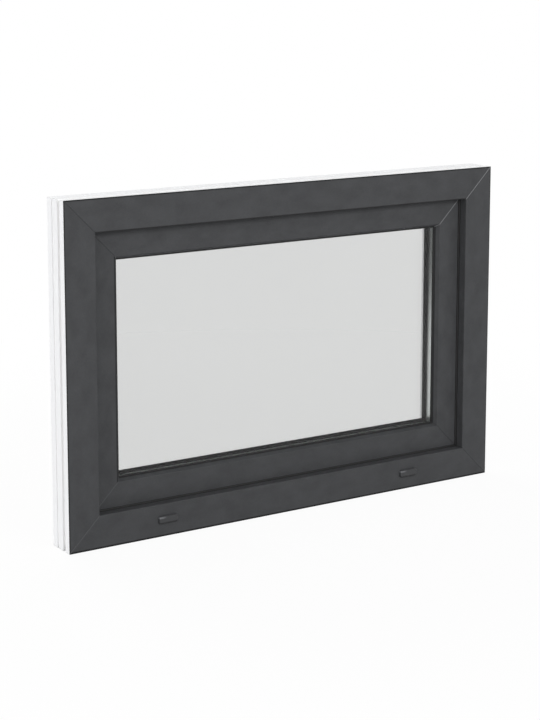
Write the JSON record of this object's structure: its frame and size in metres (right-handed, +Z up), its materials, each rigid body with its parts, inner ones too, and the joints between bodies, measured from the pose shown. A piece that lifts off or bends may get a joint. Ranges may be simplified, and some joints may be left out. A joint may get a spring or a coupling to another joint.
{
  "type": "pvc casement window",
  "caption": "White PVC casement window with an anthracite exterior, mitred frame and recessed sash, double glazing, drain caps, inside handle and hinges.",
  "frame": {"origin": "middle of the sill's underside, at half the frame's depth", "axes": "+X to the right seen from outside, +Y from outside to inside, +Z up"},
  "size_m": [0.9, 0.1396, 0.6],
  "materials": {
    "white_pvc": "smooth satin white",
    "anthracite_foil": "fine grained matt anthracite foil",
    "black_seal": "matt black",
    "clear_glass": "clear float glass",
    "spacer_aluminium": "satin",
    "anthracite_plastic": "moulded satin anthracite",
    "white_lacquer": "white lacquer",
    "zinc_steel": "bright zinc"
  },
  "bodies": {
    "root": {"frame_sill": "white_pvc", "frame_sill_foil": "anthracite_foil", "frame_head": "white_pvc", "frame_head_foil": "anthracite_foil", "frame_left_jamb": "white_pvc", "frame_left_jamb_foil": "anthracite_foil", "frame_right_jamb": "white_pvc", "frame_right_jamb_foil": "anthracite_foil", "sash_bottom_rail": "white_pvc", "sash_bottom_rail_foil": "anthracite_foil", "sash_top_rail": "white_pvc", "sash_top_rail_foil": "anthracite_foil", "sash_left_stile": "white_pvc", "sash_left_stile_foil": "anthracite_foil", "sash_right_stile": "white_pvc", "sash_right_stile_foil": "anthracite_foil", "glazing_bead_bottom": "white_pvc", "glazing_bead_top": "white_pvc", "glazing_bead_left": "white_pvc", "glazing_bead_right": "white_pvc", "frame_seal": "black_seal", "sash_overlap_seal": "black_seal", "outer_glazing_seal": "black_seal", "inner_glazing_seal": "black_seal", "outer_pane": "clear_glass", "inner_pane": "clear_glass", "glazing_spacer": "spacer_aluminium", "drain_cap_left": "anthracite_plastic", "drain_cap_right": "anthracite_plastic", "handle_rose": "white_lacquer", "handle_lever": "white_lacquer", "lower_hinge_frame_leaf": "white_lacquer", "lower_hinge_sash_leaf": "white_lacquer", "lower_hinge_pin": "zinc_steel", "upper_hinge_frame_leaf": "white_lacquer", "upper_hinge_sash_leaf": "white_lacquer", "upper_hinge_pin": "zinc_steel"}
  },
  "joints": []
}
